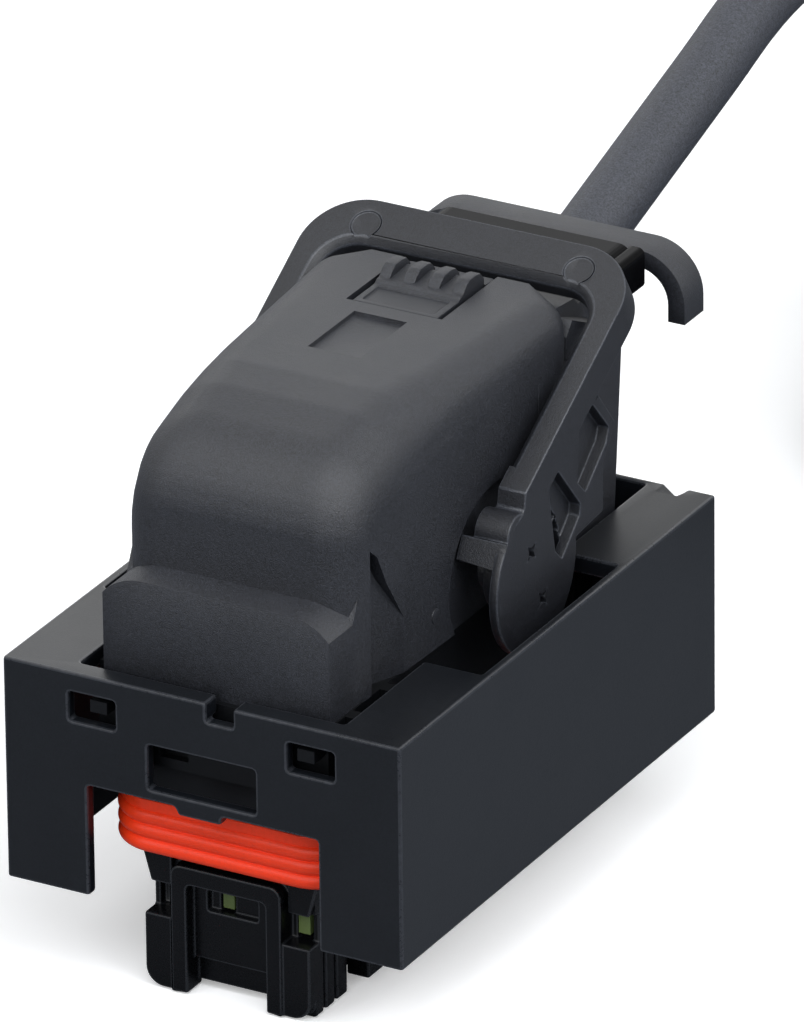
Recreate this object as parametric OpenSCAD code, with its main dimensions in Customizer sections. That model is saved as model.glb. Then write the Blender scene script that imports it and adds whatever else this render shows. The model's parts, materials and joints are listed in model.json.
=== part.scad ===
// Sealed multi-way automotive connector with a lever, a wire cover and its lead.
// Millimetres. X is across, Y runs from the front face to the cable, Z is up.
// The origin is the centre of the footprint, on the plane that the feet stand on.

/* [Shroud] */
// Width of the outer shroud
shroud_w = 45; // [42:0.5:54]
// Length of the outer shroud
shroud_l = 66; // [64:0.5:80]
// Height of the outer shroud
shroud_h = 24.4; // [22:0.2:30]
// Thickness of the shroud's front wall
front_wall = 1.45; // [1.2:0.05:1.8]
// Thickness of the shroud's side walls
side_wall = 1; // [0.8:0.1:1.4]
// Thickness of the shroud's rear wall
rear_wall = 0.9; // [0.8:0.1:1.6]
// Thickness of the shroud's top plate
top_plate = 2; // [1.4:0.1:2.4]
// Width of the arch in the shroud's front wall
arch_w = 26.2; // [24:0.2:28]
// Height of the arch in the shroud's front wall
arch_h = 12.2; // [11:0.1:12.6]
// Length of each bay that a lever cam turns in
bay_l = 28.4; // [26:0.2:32]

/* [Plug] */
// How far the feet reach below the shroud
foot_drop = 10.8; // [9.6:0.2:12]
// Width of the plug core inside the seal
core_w = 23.8; // [22:0.2:24.2]
// Length of the plug core inside the seal
core_l = 54.4; // [52:0.2:56]
// Distance from the shroud's front face to the core
core_front = 5; // [4.6:0.1:6]
// Corner radius of the core
core_r = 3.4; // [2.5:0.1:4.5]
// Height of the interface seal
seal_h = 5.8; // [5:0.1:6.5]
// How far the seal's lips stand out from the core
seal_lip = 1.8; // [1.5:0.05:2]
// Number of lips on the seal
seal_lips = 3; // [2:1:4]
// Distance from the seal to the bottom of the plug's nose
nose_h = 13.6; // [12:0.1:14.4]
// Wall thickness of the plug's tray
tray_wall = 1.2; // [1:0.1:1.6]
// Width of the front retainer's legs, across both
leg_w = 18.8; // [18.4:0.1:20]
// Width of the front retainer's recess
recess_w = 9; // [8:0.1:10]

/* [Contacts] */
// Rows of small contacts across the plug
signal_rows = 3; // [2:1:3]
// Columns of small contacts along the plug
signal_cols = 8; // [4:1:9]
// Distance between small contacts
signal_pitch = 4.5; // [4:0.1:4.6]
// Side of a small contact
signal_size = 2; // [1.5:0.1:2.2]
// Side of a large contact
power_size = 3.4; // [2.8:0.1:3.8]
// Diameter of a small wire
signal_wire_d = 1.6; // [1.2:0.1:1.8]
// Diameter of a large wire
power_wire_d = 2.8; // [2.2:0.1:3]

/* [Wire cover] */
// Half width of the cover at its nose
nose_hw = 12.8; // [12:0.1:12.9]
// Half width of the cover at its roof's rear
roof_hw = 14.3; // [13.6:0.1:14.6]
// Height of the cover's roof above the shroud
roof_h = 26.4; // [24:0.2:28]
// Distance from the shroud's front face to the roof's rear edge
roof_end = 51.9; // [50.5:0.1:52]
// Wall thickness of the cover
cover_wall = 1.5; // [1.2:0.1:1.8]
// Height of the front step above the shroud
step_h = 9.9; // [8:0.1:11]
// Radius of the round nose
nose_r = 8; // [6:0.5:9]
// Radius of the roof's shoulders
shoulder_r = 4.5; // [3.5:0.25:5.5]

/* [Latch] */
// Width of the latch tongue
latch_w = 9.7; // [8:0.1:11]
// Width of the slit on each side of the tongue
latch_slit = 0.6; // [0.4:0.05:0.9]
// Number of grip ribs on the latch
latch_ribs = 4; // [3:1:5]
// Height of the grip ribs above the roof
rib_h = 1.4; // [1:0.1:1.5]

/* [Lever] */
// Width of the lever over its arms
lever_w = 37; // [36:0.25:40]
// Thickness of a lever arm
arm_t = 3.2; // [2.6:0.1:3.4]
// Distance from the pivot to the bridge's inner edge, along the arms
bridge_reach = 28; // [27.6:0.1:30]
// Breadth of the bridge
bridge_b = 5.1; // [4:0.1:7]
// Slope of the closed lever's face
lever_tilt = 31.3; // [30:0.1:32]
// Radius of the lever's cam disc
cam_r = 8.3; // [7:0.1:9]
// Radius of the pivot stub
pivot_r = 2.4; // [2:0.1:2.8]
// Radial clearance round the pivot stub
pivot_gap = 0.05; // [0.02:0.01:0.1]

/* [Cable] */
// Diameter of the cable
cable_d = 7; // [5.6:0.1:7.2]
// Width of the cable support tongue
tongue_w = 20; // [18:0.5:24]
// Width over the arched end of the cable support
head_w = 32; // [28:0.5:36]
// Width of the cable tie's band
tie_b = 4.6; // [3.6:0.1:4.8]
// Thickness of the cable tie's band
tie_t = 1.2; // [1:0.1:1.4]

/* [Hidden] */
$fn = 48;
hull_fn = 32;
e = 0.01;

// Clearances
seat_gap = 0.15;
slide_gap = 0.25;

// Heights above the feet
rim = foot_drop + shroud_h;
seal_z = 15.2;
seal_top = seal_z + seal_h;
tray_z = rim - 9.5;
tray_top = rim - 1.2;
tray_floor = tray_z + 1;
mat_h = 3;
grid_h = 1.8;
roof = rim + roof_h;

// Shroud
open_hw = 15;
open_front = 2.43;
open_rear = shroud_l - rear_wall;
bay_front = 18.5;
window = [5.3, 3.2];
window_x = 12.4;
window_z = rim - 3.8;

// Plug, and the middle of its length
core_rear = core_front + core_l;
core_mid = (core_front + core_rear) / 2;
tray_hw = 13;
tray_front = open_front + seat_gap;
tray_rear = core_rear + 1.2;
nose_hwx = 8;
nose_front = 7.5;
nose_rear = 2 * core_mid - nose_front;
nose_z = seal_z - nose_h;
leg_front = 4.5;
frame_front = 4.3;
panel_y = 5.8;
foot_y = 6.6;
block_rear = 12.2;
body_hw = 10.7;
body_front = 14.2;
lock_z = 9.4;
lock_h = 1.5;

// Contacts
signal_y0 = core_mid - (signal_cols - 1) * signal_pitch / 2;
power_x = 4.4;
power_y = [signal_y0 - 6.2, signal_y0 + (signal_cols - 1) * signal_pitch + 6.2];
contact_z = nose_z + 1;
contact_h = 10.5;
crimp_top = contact_z + contact_h + 4;
wire_top = rim + 3;

// Wire cover
cover_z = tray_top;
step_front = 3.3;
nose_front_y = 7.3;
fin_rear = 11.2;
rear_y = 59.8;
rear_top = rim + 19.4;
rear_hw = 14.2;
slot_front = 40;

// Lever
pivot_y = 35.5;
pivot_z = rim + 3;
face_h = 9.54;
lever_hw = lever_w / 2;
arm_in = lever_hw - arm_t;
face_t = 3.9;
bridge_t = 2.4;
ledge_in = 13.25;
hub_in = 14.6;
stub_end = lever_hw - 1.1;

// Cable support
tongue_top = rim + 22.5;
tongue_t = 1.9;
tie_front = 64.9;
head_front = 71.6;
head_l = 4.1;
head_z = rim + 15.2;
head_r = 5.4;
overall_l = head_front + head_l;

// Cable route, from the grommet's face to the coil, measured from the shroud's front face
cable_rise = 17.1;
exit_y = 62.8;
exit_z = rim + 12.8;
coil_c = [30, 167];
coil_r = 35;
route = [
    [0, 62.8, rim + 12.8], [0, 72, 50.8], [0, 83, 54.2], [0, 95, 57.9], [0, 107, 61.6], [0, 118, 65],
    [-0.2, 127, 65.7], [-1, 136, 64.2], [-2.5, 145, 60.8], [-4, 153.5, 56.1], [-5, 161.5, 50.8],
    [-5, 169.5, 45.6], [-3.6, 177, 40.5], [-0.3, 184.5, 35.2], [6, 191, 29.9], [10.9, 194.3, 26.1],
    [16.2, 196.5, 22.5], [21.7, 197.9, 19.4], [30, 198.5, 15.5], [38.2, 197.4, 12.7],
    [45.8, 194.3, 11.1], [52.3, 189.3, 10.5]
];
tail_route = [
    [49.3, 133.7, 10.5], [43.2, 130.8, 10.7], [36.7, 129.1, 11.4], [30, 128.5, 12.4],
    [22.2, 129.5, 13.9], [15, 132.5, 15.4], [8.8, 137.3, 16.9], [4, 143.5, 18.3],
    [0.8, 150.7, 19.2], [0, 157.2, 19.5], [0, 158.5, 19.5]
];
plug_at = [0, 158.5, 14];
plug_w = 14;
plug_l = 20;
plug_h = 11;
boot_l = 6;

module place() {
    translate([0, -overall_l / 2, 0]) children();
}

// Both sides of a shape that is drawn on the right
module pair() {
    children();
    mirror([1, 0, 0]) children();
}

// Rounded rectangle with true arcs, centred
module round_rect(w, l, r) {
    square([w - 2 * r, l], center = true);
    square([w, l - 2 * r], center = true);
    for (x = [-1, 1], y = [-1, 1])
        translate([x * (w / 2 - r), y * (l / 2 - r)]) circle(r);
}

// Box from one corner to the opposite one
module block(a, b) {
    translate(a) cube(b - a);
}

// Outline in Y and Z, drawn out along X
module along_x(x0, x1) {
    translate([x0, 0, 0]) rotate([90, 0, 90]) linear_extrude(x1 - x0) children();
}

// Outline in X and Z, drawn out along Y
module along_y(y0, y1) {
    translate([0, y1, 0]) rotate([90, 0, 0]) linear_extrude(y1 - y0) children();
}

// Profile carried round a rounded rectangle; the profile's Y axis stands for Z
module carry_round(w, l, r) {
    straight_w = w - 2 * r;
    straight_l = l - 2 * r;
    for (x = [0, 1], y = [0, 1])
        mirror([x, 0, 0]) mirror([0, y, 0])
            translate([straight_w / 2, straight_l / 2, 0])
                rotate_extrude(angle = 90) translate([r, 0]) children();
    for (x = [0, 1])
        mirror([x, 0, 0]) translate([w / 2, straight_l / 2, 0])
            rotate([90, 0, 0]) linear_extrude(straight_l) children();
    for (y = [0, 1])
        mirror([0, y, 0]) translate([-straight_w / 2, l / 2, 0])
            rotate([90, 0, 90]) linear_extrude(straight_w) children();
}

// Every small contact's place
module at_signals() {
    for (i = [0 : signal_rows - 1], j = [0 : signal_cols - 1])
        translate([(i - (signal_rows - 1) / 2) * signal_pitch, signal_y0 + j * signal_pitch, 0])
            children();
}

// Every large contact's place
module at_powers() {
    for (x = [-1, 1], y = power_y) translate([x * power_x, y, 0]) children();
}

// Closed lever's own frame: Y runs along the arms, Z out of the face, from the pivot
module at_lever() {
    translate([0, pivot_y, pivot_z]) rotate([lever_tilt, 0, 0]) children();
}

// Tube swept along points, with sides in planes that turn with the path
function unit(v) = v / norm(v);
function heading(p, i) =
    i == 0 ? unit(p[1] - p[0]) :
    i == len(p) - 1 ? unit(p[i] - p[i - 1]) :
    unit(unit(p[i] - p[i - 1]) + unit(p[i + 1] - p[i]));
function across(t) = unit(cross(t, [0, 0, 1]));
function ring(p, i, r, n) =
    let (t = heading(p, i), a = across(t), b = cross(a, t))
    [for (k = [0 : n - 1]) p[i] + r * (cos(360 * k / n) * a + sin(360 * k / n) * b)];

module swept_tube(p, r, n = 10) {
    points = [for (i = [0 : len(p) - 1]) each ring(p, i, r, n)];
    last = (len(p) - 1) * n;
    faces = concat(
        [[for (k = [0 : n - 1]) k]],
        [for (i = [0 : len(p) - 2], k = [0 : n - 1])
            [i * n + k, (i + 1) * n + k, i * n + (k + 1) % n]],
        [for (i = [0 : len(p) - 2], k = [0 : n - 1])
            [(i + 1) * n + k, (i + 1) * n + (k + 1) % n, i * n + (k + 1) % n]],
        [[for (k = [n - 1 : -1 : 0]) last + k]]);
    polyhedron(points, faces, convexity = 4);
}

module shroud_front_cuts() {
    // Arch that shows the seal, with a low tab in the middle of its top edge
    difference() {
        block([-arch_w / 2, -e, foot_drop - e], [arch_w / 2, front_wall + e, foot_drop + arch_h]);
        along_y(-1, front_wall + 1)
            polygon([[-3.6, foot_drop + arch_h + 1], [-2.7, foot_drop + arch_h - 0.9],
                     [2.1, foot_drop + arch_h - 0.9], [2.4, foot_drop + arch_h + 1]]);
    }
    // Windows for the plug's catches
    pair() translate([window_x - window[0] / 2, -e, window_z - window[1] / 2])
        cube([window[0], open_front + 2 * e, window[1]]);
    // Coding notch in the top edge
    block([0.6, -e, rim - 2.1], [3.7, open_front + e, rim + e]);
    // Wide window between the catches, with the tray behind it
    block([-6.1, -e, rim - 11], [6.1, open_front + e, rim - 6.1]);
}

module outer_shroud() {
    inner_hw = shroud_w / 2 - side_wall;
    bay_rear = bay_front + bay_l;
    color("#23262a") place() difference() {
        block([-shroud_w / 2, 0, foot_drop], [shroud_w / 2, shroud_l, rim]);
        block([-inner_hw, front_wall, foot_drop - e], [inner_hw, open_rear, rim - top_plate]);
        block([-open_hw, open_front, foot_drop], [open_hw, open_rear, rim + e]);
        block([-inner_hw, bay_front, foot_drop], [inner_hw, bay_rear, rim + e]);
        shroud_front_cuts();
        // Notch at the rear right of the top plate
        along_y(shroud_l - 2.1, shroud_l + e)
            polygon([[16.6, rim + e], [17.9, rim - 1], [19, rim - 1], [19.4, rim + e]]);
    }
}

module plug_housing() {
    tray_in = tray_hw - tray_wall;
    color("#1d2023") place() difference() {
        union() {
            // Tray that the wire cover stands on
            block([-tray_hw, tray_front, tray_z], [tray_hw, tray_rear, tray_top]);
            // Core that carries the seal, and the stop above the seal
            translate([0, core_mid, seal_z]) linear_extrude(tray_z - seal_z + e)
                round_rect(core_w, core_l, core_r);
            translate([0, core_mid, seal_top]) linear_extrude(tray_z - seal_top + e)
                round_rect(core_w + 1.8, core_l + 1.8, core_r + 0.9);
            // Nose that holds the contacts
            block([-nose_hwx, nose_front, nose_z], [nose_hwx, nose_rear, seal_z + e]);
            // Catches that show in the shroud's windows
            pair() block([window_x - 1.6, 0.3, window_z - 0.2], [window_x + 0.3, tray_front + e,
                                                                window_z + 1.1]);
            // Guide ribs that centre the tray in the shroud
            for (y = [6, 13, 50, 57])
                pair() block([tray_hw - e, y, tray_z], [open_hw - seat_gap, y + 1.6, tray_top]);
            // Rear guides that reach back to the shroud's rear wall
            pair() block([6, tray_rear - e, tray_z], [7.6, open_rear - seat_gap, tray_top - 2]);
        }
        // Dark pocket behind the left end of the shroud's wide window
        block([-6.1, tray_front - e, rim - 8.4], [-2.9, tray_front + tray_wall - 0.3, rim - 4]);
        block([-tray_in, tray_front + tray_wall, tray_floor], [tray_in, tray_rear - tray_wall,
                                                              tray_top + e]);
        at_signals() {
            translate([0, 0, (contact_z + tray_floor) / 2])
                cube([signal_size + 2 * seat_gap, signal_size + 2 * seat_gap,
                      tray_floor - contact_z + 2 * e], center = true);
            translate([0, 0, nose_z]) cube([1, 1, 3], center = true);
        }
        at_powers() {
            translate([0, 0, (contact_z + tray_floor) / 2])
                cube([power_size + 2 * seat_gap, power_size + 2 * seat_gap,
                      tray_floor - contact_z + 2 * e], center = true);
            translate([0, 0, nose_z]) cube([2.2, 2.2, 3], center = true);
        }
        // Slot that the terminal lock slides into from the front
        block([-nose_hwx + 0.6 - seat_gap, nose_front - e, lock_z - seat_gap],
              [nose_hwx - 0.6 + seat_gap, nose_rear - 0.6 + seat_gap, lock_z + lock_h + seat_gap]);
    }
}

module seal_profile() {
    shoulder = 1.15;
    pitch = (seal_h - shoulder) / seal_lips;
    lip_r = pitch * 0.55;
    square([seal_lip - lip_r, seal_h]);
    translate([0, seal_h - shoulder]) square([seal_lip - 0.35, shoulder]);
    for (i = [0 : seal_lips - 1])
        translate([seal_lip - lip_r, (i + 0.5) * pitch]) intersection() {
            circle(lip_r);
            translate([-lip_r, -pitch / 2]) square([2 * lip_r, pitch]);
        }
}

module interface_seal() {
    color("#e23a1f") place() translate([0, core_mid, seal_z])
        carry_round(core_w, core_l, core_r) seal_profile();
}

// Mirror image about the middle of the plug's length
module front_and_rear() {
    children();
    translate([0, 2 * core_mid, 0]) mirror([0, 1, 0]) children();
}

module retainer_front_block() {
    leg_hw = leg_w / 2;
    frame_hw = recess_w / 2 + 1.8;
    frame_top = seal_z - 1.1;
    // Body behind the legs
    block([-leg_hw, panel_y, 0], [leg_hw, block_rear, seal_z]);
    // Frame round the recess
    along_y(frame_front, panel_y + e) difference() {
        union() {
            translate([-frame_hw, 0]) square([2 * frame_hw, frame_top - 1.2]);
            translate([-frame_hw + 1.2, 0]) square([2 * frame_hw - 2.4, frame_top]);
            for (x = [-1, 1]) translate([x * (frame_hw - 1.2), frame_top - 1.2]) circle(1.2);
        }
        translate([-recess_w / 2, -e]) square([recess_w, 11.5]);
        translate([-recess_w / 2 + 0.6, 11]) square([recess_w - 1.2, 1.1]);
        for (x = [-1, 1]) translate([x * (recess_w / 2 - 0.6), 11.5]) circle(0.6);
    }
    // Legs, with a round lower corner
    pair() along_y(leg_front, panel_y + e) {
        translate([leg_hw - 2, 2]) circle(2);
        polygon([[frame_hw, 0], [leg_hw - 2, 0], [leg_hw - 2, 2], [leg_hw, 2], [leg_hw, 8],
                 [frame_hw, 8]]);
    }
    // Web above each leg's window
    pair() along_y(leg_front + 0.7, block_rear)
        polygon([[frame_hw, 11.2], [leg_hw - 0.4, 11.2], [leg_hw + 0.7, seal_z], [frame_hw, seal_z]]);
}

module retainer_front_cuts() {
    leg_hw = leg_w / 2;
    frame_hw = recess_w / 2 + 1.8;
    // Pocket in the middle and one above each leg, each with a hole for a tab of the lock
    block([-2.85, frame_front, 9], [2.85, foot_y, 11.3]);
    block([-1.75, frame_front, 9], [-0.15, nose_front, 11.3]);
    pair() block([frame_hw, frame_front, 8], [leg_hw + e, foot_y, 11.2]);
    pair() block([leg_hw - 2.4, frame_front, 8], [leg_hw - 0.7, nose_front, 11.2]);
    // Deeper foot of the recess, open below
    block([-recess_w / 2, frame_front, 0.7], [recess_w / 2, foot_y, 3.5]);
    block([-recess_w / 2, frame_front, -e], [recess_w / 2, block_rear + e, 0.7]);
    // Parting groove beside each frame upright
    pair() block([frame_hw, frame_front, 8], [frame_hw + 0.3, panel_y + 0.6, seal_z + e]);
}

module front_retainer() {
    inner_hw = nose_hwx + seat_gap;
    color("#1a1c1f") place() difference() {
        union() {
            front_and_rear() retainer_front_block();
            block([-inner_hw - 0.8, block_rear - e, 3.5], [inner_hw + 0.8, 2 * core_mid - block_rear + e,
                                                          seal_z]);
            // Middle body, with a sloped lower corner at each end
            along_y(body_front, 2 * core_mid - body_front)
                polygon([[-body_hw, seal_z], [-body_hw, 0.8], [-body_hw + 3, 0.8],
                         [-body_hw + 4, 2.4], [body_hw - 4, 2.4], [body_hw - 3, 0.8],
                         [body_hw, 0.8], [body_hw, seal_z]]);
        }
        front_and_rear() retainer_front_cuts();
        block([-inner_hw, nose_front - seat_gap, -e], [inner_hw, nose_rear + seat_gap, seal_z + e]);
        // Grooves that part the outer face of the front and rear blocks
        front_and_rear() pair() for (y = [7.4, 9.6])
            block([leg_w / 2 - 0.5, y, -e], [leg_w / 2 + e, y + 0.5, seal_z - 2]);
    }
}

module terminal_lock() {
    hole = 2 * seat_gap + 0.1;
    color("#6f8048") place() difference() {
        union() {
            block([-nose_hwx + 0.6, nose_front, lock_z], [nose_hwx - 0.6, nose_rear - 0.6,
                                                          lock_z + lock_h]);
            // Tabs that show in the retainer's windows
            block([-1.55, foot_y + 0.1, lock_z - 0.1], [-0.3, nose_front + e, lock_z + lock_h + 0.1]);
            block([leg_w / 2 - 2.2, panel_y + 0.6, lock_z - 0.7],
                  [leg_w / 2 - 0.9, nose_front - seat_gap, lock_z + lock_h]);
            block([nose_hwx - 0.9, nose_front - seat_gap - 0.3, lock_z],
                  [leg_w / 2 - 0.9, nose_front - seat_gap, lock_z + lock_h]);
            block([nose_hwx - 0.9, nose_front - seat_gap - e, lock_z],
                  [nose_hwx - 0.6, nose_front + e, lock_z + lock_h]);
        }
        at_signals() translate([0, 0, lock_z + lock_h / 2])
            cube([signal_size + hole, signal_size + hole, 2 * lock_h], center = true);
        at_powers() translate([0, 0, lock_z + lock_h / 2])
            cube([power_size + hole, power_size + hole, 2 * lock_h], center = true);
    }
}

module tray_plate(z, h, signal_d, power_d) {
    hw = tray_hw - tray_wall - seat_gap;
    difference() {
        block([-hw, tray_front + tray_wall + seat_gap, z], [hw, tray_rear - tray_wall - seat_gap,
                                                            z + h]);
        at_signals() translate([0, 0, z - e]) cylinder(d = signal_d, h = h + 2 * e);
        at_powers() translate([0, 0, z - e]) cylinder(d = power_d, h = h + 2 * e);
    }
}

module wire_seal() {
    color("#c9472e") place()
        tray_plate(tray_floor, mat_h, signal_wire_d + 0.1, power_wire_d + 0.1);
}

module seal_cover() {
    color("#26292c") place()
        tray_plate(tray_floor + mat_h, grid_h, signal_wire_d + 0.6, power_wire_d + 0.6);
}

module contact(size, wire_d) {
    difference() {
        union() {
            translate([-size / 2, -size / 2, contact_z]) cube([size, size, contact_h]);
            translate([0, 0, contact_z + contact_h - e])
                cylinder(d = wire_d + 0.2, h = crimp_top - contact_z - contact_h + e);
        }
        translate([0, 0, contact_z + 3]) cube([size / 2, size / 2, 6 + 2 * e], center = true);
    }
}

module signal_contacts() {
    color("#b9a06a") place() at_signals() contact(signal_size, signal_wire_d);
}

module power_contacts() {
    color("#c2ab78") place() at_powers() contact(power_size, power_wire_d);
}

module wire(d) {
    translate([0, 0, crimp_top]) cylinder(d = d, h = wire_top - crimp_top);
}

module signal_wires() {
    color("#3d4f6b") place() at_signals() wire(signal_wire_d);
}

module power_wires() {
    color("#7a2e24") place() at_powers() wire(power_wire_d);
}

module wire_bundle() {
    color("#2b2d30") place() hull() {
        block([-8, 10, wire_top], [8, power_y[1] + 2, wire_top + 2]);
        at_exit() translate([0, 0, -7]) cylinder(d = cable_d, h = 0.6, $fn = hull_fn);
    }
}

// Body of the cover, with the hollow made by the same shape drawn in by the wall
module cover_body(inset) {
    arc_r = nose_r + 1;
    corner = 3.4;
    rear_r = shoulder_r - 0.9;
    hull() {
        // Round nose: the shoulder's radius carried over an arc
        for (a = [0, 25, 50, 75]) pair()
            translate([nose_hw + 0.3 - corner - 0.02 * a, nose_front_y + arc_r - (arc_r - corner) * cos(a),
                       rim + 25 - arc_r + (arc_r - corner) * sin(a)])
                sphere(corner - inset, $fn = hull_fn);
        pair() translate([nose_hw + 0.5 - shoulder_r, 27, roof - 0.1 - shoulder_r])
            sphere(shoulder_r - inset, $fn = hull_fn);
        pair() translate([nose_hw + 0.3 - corner, nose_front_y + corner, cover_z])
            cylinder(r = corner - inset, h = 8, $fn = hull_fn);
        // Roof's rear end: round shoulders, and a crisp edge between them
        pair() translate([roof_hw - rear_r, roof_end - rear_r, 0]) {
            translate([0, 0, roof - rear_r]) sphere(rear_r - inset, $fn = hull_fn);
            translate([0, 0, cover_z]) cylinder(r = rear_r - inset, h = 8, $fn = hull_fn);
        }
        block([-9, 40, roof - 1], [9, roof_end - 0.3 - inset, roof - inset]);
    }
}

module cover_rear(inset) {
    hull() {
        along_x(-rear_hw + inset, rear_hw - inset) {
            translate([rear_y - 1.4, rear_top - 3]) circle(3 - inset, $fn = hull_fn);
            translate([44, cover_z]) square([rear_y - 44 - inset, 12]);
            translate([44, cover_z]) square([2, rear_top - cover_z - inset]);
        }
    }
}

// Rise of the cover's rear under the closed lever's bridge
module cover_saddle(inset) {
    hw = 13.9 - inset;
    drop = 1.6 * inset;
    along_x(-hw, hw)
        polygon([[50.4, rear_top - 4], [50.4, rim + 22 - drop], [51.6, rim + 23.4 - drop],
                 [54.5, rim + 22 - drop], [57 - inset, rim + 21 - drop],
                 [59.4 - inset, rear_top + 0.6 - drop], [59.4 - inset, rear_top - 4]]);
    along_x(3 - hw, hw - 3)
        polygon([[46, rear_top - 4], [46, roof - 2.5 - drop], [51.4 - inset, roof - 2.5 - drop],
                 [53.8 - inset, rim + 23.2 - drop], [57.4 - inset, rim + 22.8 - drop],
                 [59.4 - inset, rear_top + 1.6 - drop], [59.4 - inset, rear_top - 4]]);
}

// Front step with a crowned top, and the fins that rise from it
module cover_step(inset) {
    crown = 5.9;
    along_y(step_front + inset, fin_rear - inset) intersection() {
        translate([-nose_hw + inset, cover_z]) square([2 * (nose_hw - inset), roof_h]);
        union() {
            translate([-nose_hw, cover_z]) square([2 * nose_hw, step_h - crown + 1.2]);
            translate([-8.3, cover_z]) square([16.6, step_h + 1.2 - inset]);
            for (x = [-8.3, 8.3]) translate([x, rim + step_h - crown]) circle(crown - inset);
        }
    }
    pair() along_x(nose_hw - 2.6, nose_hw - inset)
        polygon([[8, cover_z], [fin_rear - inset, cover_z], [fin_rear - inset, rim + 14.4 - inset * 2],
                 [8, rim + 7.6]]);
}

module cable_support() {
    head_hw = head_w / 2;
    under = rim + 18.2;
    // Tongue from the cover's rear to the arched head
    along_x(-tongue_w / 2, tongue_w / 2)
        polygon([[57, rear_top - 1.5], [57, rear_top - 0.2], [61.5, tongue_top - 0.9], [64, tongue_top],
                 [head_front + e, tongue_top], [head_front + e, tongue_top - tongue_t],
                 [64.5, tongue_top - tongue_t], [61, rear_top - 2.6]]);
    // Two ribs that cradle the cable
    pair() along_x(1.2, 2.6)
        polygon([[60, rear_top - 1], [62, under], [70, under + 2.2], [70, tongue_top - 1],
                 [63, tongue_top - 1]]);
    // Arched head that stops the tie from slipping off
    along_y(head_front, head_front + head_l) difference() {
        head_arch(head_hw, tongue_top, head_r);
        head_arch(head_hw - tongue_t, tongue_top - tongue_t, head_r - tongue_t);
    }
}

module head_arch(hw, top, r) {
    intersection() {
        translate([-hw, head_z]) square([2 * hw, top - head_z]);
        union() {
            translate([-hw + r, head_z]) square([2 * (hw - r), top - head_z]);
            translate([-hw, head_z]) square([2 * hw, top - head_z - r]);
            for (x = [-1, 1]) translate([x * (hw - r), top - r]) circle(r);
        }
    }
}

module cover_cuts() {
    slot_hw = latch_w / 2 + latch_slit;
    lip = tray_hw - tray_wall - slide_gap - 1;
    // Opening over the tray
    block([-lip, tray_front + 3.6, cover_z - 3], [lip, rear_y - 2.5, cover_z + 2]);
    // Latch slot, out through the roof's rear edge
    block([-slot_hw, slot_front, roof - 3.9], [slot_hw, roof_end + 6, roof + 3]);
    // Round pocket for each lever hub, and the flute behind each fin
    pair() translate([ledge_in - 0.2, pivot_y, pivot_z]) rotate([0, 90, 0])
        cylinder(r = cam_r + 0.9, h = 4);
    pair() intersection() {
        along_x(nose_hw - 2, nose_hw + 3)
            polygon([[fin_rear, cover_z - e], [fin_rear, rim + 14.6], [12.6, rim + 13.4],
                     [14.2, rim + 10], [18, rim + 4], [18, cover_z - e]]);
        translate([0, 0, cover_z - 1]) linear_extrude(20)
            polygon([[nose_hw - 1.2, fin_rear], [nose_hw + 3, fin_rear], [nose_hw + 3, 17.6],
                     [nose_hw + 0.6, 17.6], [nose_hw - 1.2, 13.2]]);
    }
    // Bare marking field
    block([-3.3, 28.3, roof - 0.5], [2.7, 37.8, roof + 1]);
    // Hole for the grommet
    at_exit() translate([0, 0, -8]) cylinder(d = cable_d + 3.6, h = 12);
}

// Frame of the cable's exit: Z points out along the cable
module at_exit() {
    translate([0, exit_y, exit_z]) rotate([cable_rise - 90, 0, 0]) children();
}

module wire_cover() {
    lip = tray_hw - tray_wall - slide_gap;
    color("#3a3d42") place() {
        difference() {
            union() {
                cover_body(0);
                cover_rear(0);
                cover_saddle(0);
                cover_step(0);
                cable_support();
                // Lip that enters the tray and holds the seal cover down
                block([-lip, tray_front + tray_wall + slide_gap, tray_floor + mat_h + grid_h],
                      [lip, tray_rear - tray_wall - slide_gap, cover_z + e]);
            }
            cover_body(cover_wall);
            cover_rear(cover_wall);
            cover_saddle(cover_wall);
            cover_cuts();
        }
        // Stubs that the lever turns on
        pair() translate([ledge_in - 1.6, pivot_y, pivot_z]) rotate([0, 90, 0])
            cylinder(r = pivot_r, h = stub_end - ledge_in + 1.6);
        // Small catches on the flanks
        pair() translate([nose_hw - 0.4, 23.6, rim + 2.4]) rotate([0, 90, 0]) cylinder(r = 0.8, h = 1.2);
    }
}

module lock_latch() {
    hw = latch_w / 2;
    root = slot_front + 0.05;
    rib_pitch = (latch_w - 1.3) / (latch_ribs - 1);
    color("#3f4247") place() difference() {
        union() {
            along_x(-hw, hw)
                polygon([[root, roof - 1.7], [root, roof - 0.05], [44.7, roof - 0.05],
                         [45, roof + 0.3], [49.2, roof + 0.3], [49.9, roof - 0.5],
                         [52, roof - 0.5], [52.6, roof - 1.2], [52.6, roof - 2.2], [50, roof - 2.2],
                         [48, roof - 1.7]]);
            for (i = [0 : latch_ribs - 1])
                along_x(-hw + i * rib_pitch, -hw + i * rib_pitch + 1.3)
                    polygon([[45.4, roof + 0.2], [46.3, roof + rib_h - 0.3], [46.9, roof + rib_h],
                             [48.4, roof + rib_h], [49.2, roof + rib_h - 0.2], [50, roof + rib_h - 1],
                             [50, roof - 0.4], [45.4, roof - 0.4]]);
        }
        // Shallow panel between the root and the ribs
        block([-hw + 0.75, 40.9, roof - 0.3], [hw - 0.85, 44.3, roof + 0.2]);
    }
}

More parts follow.
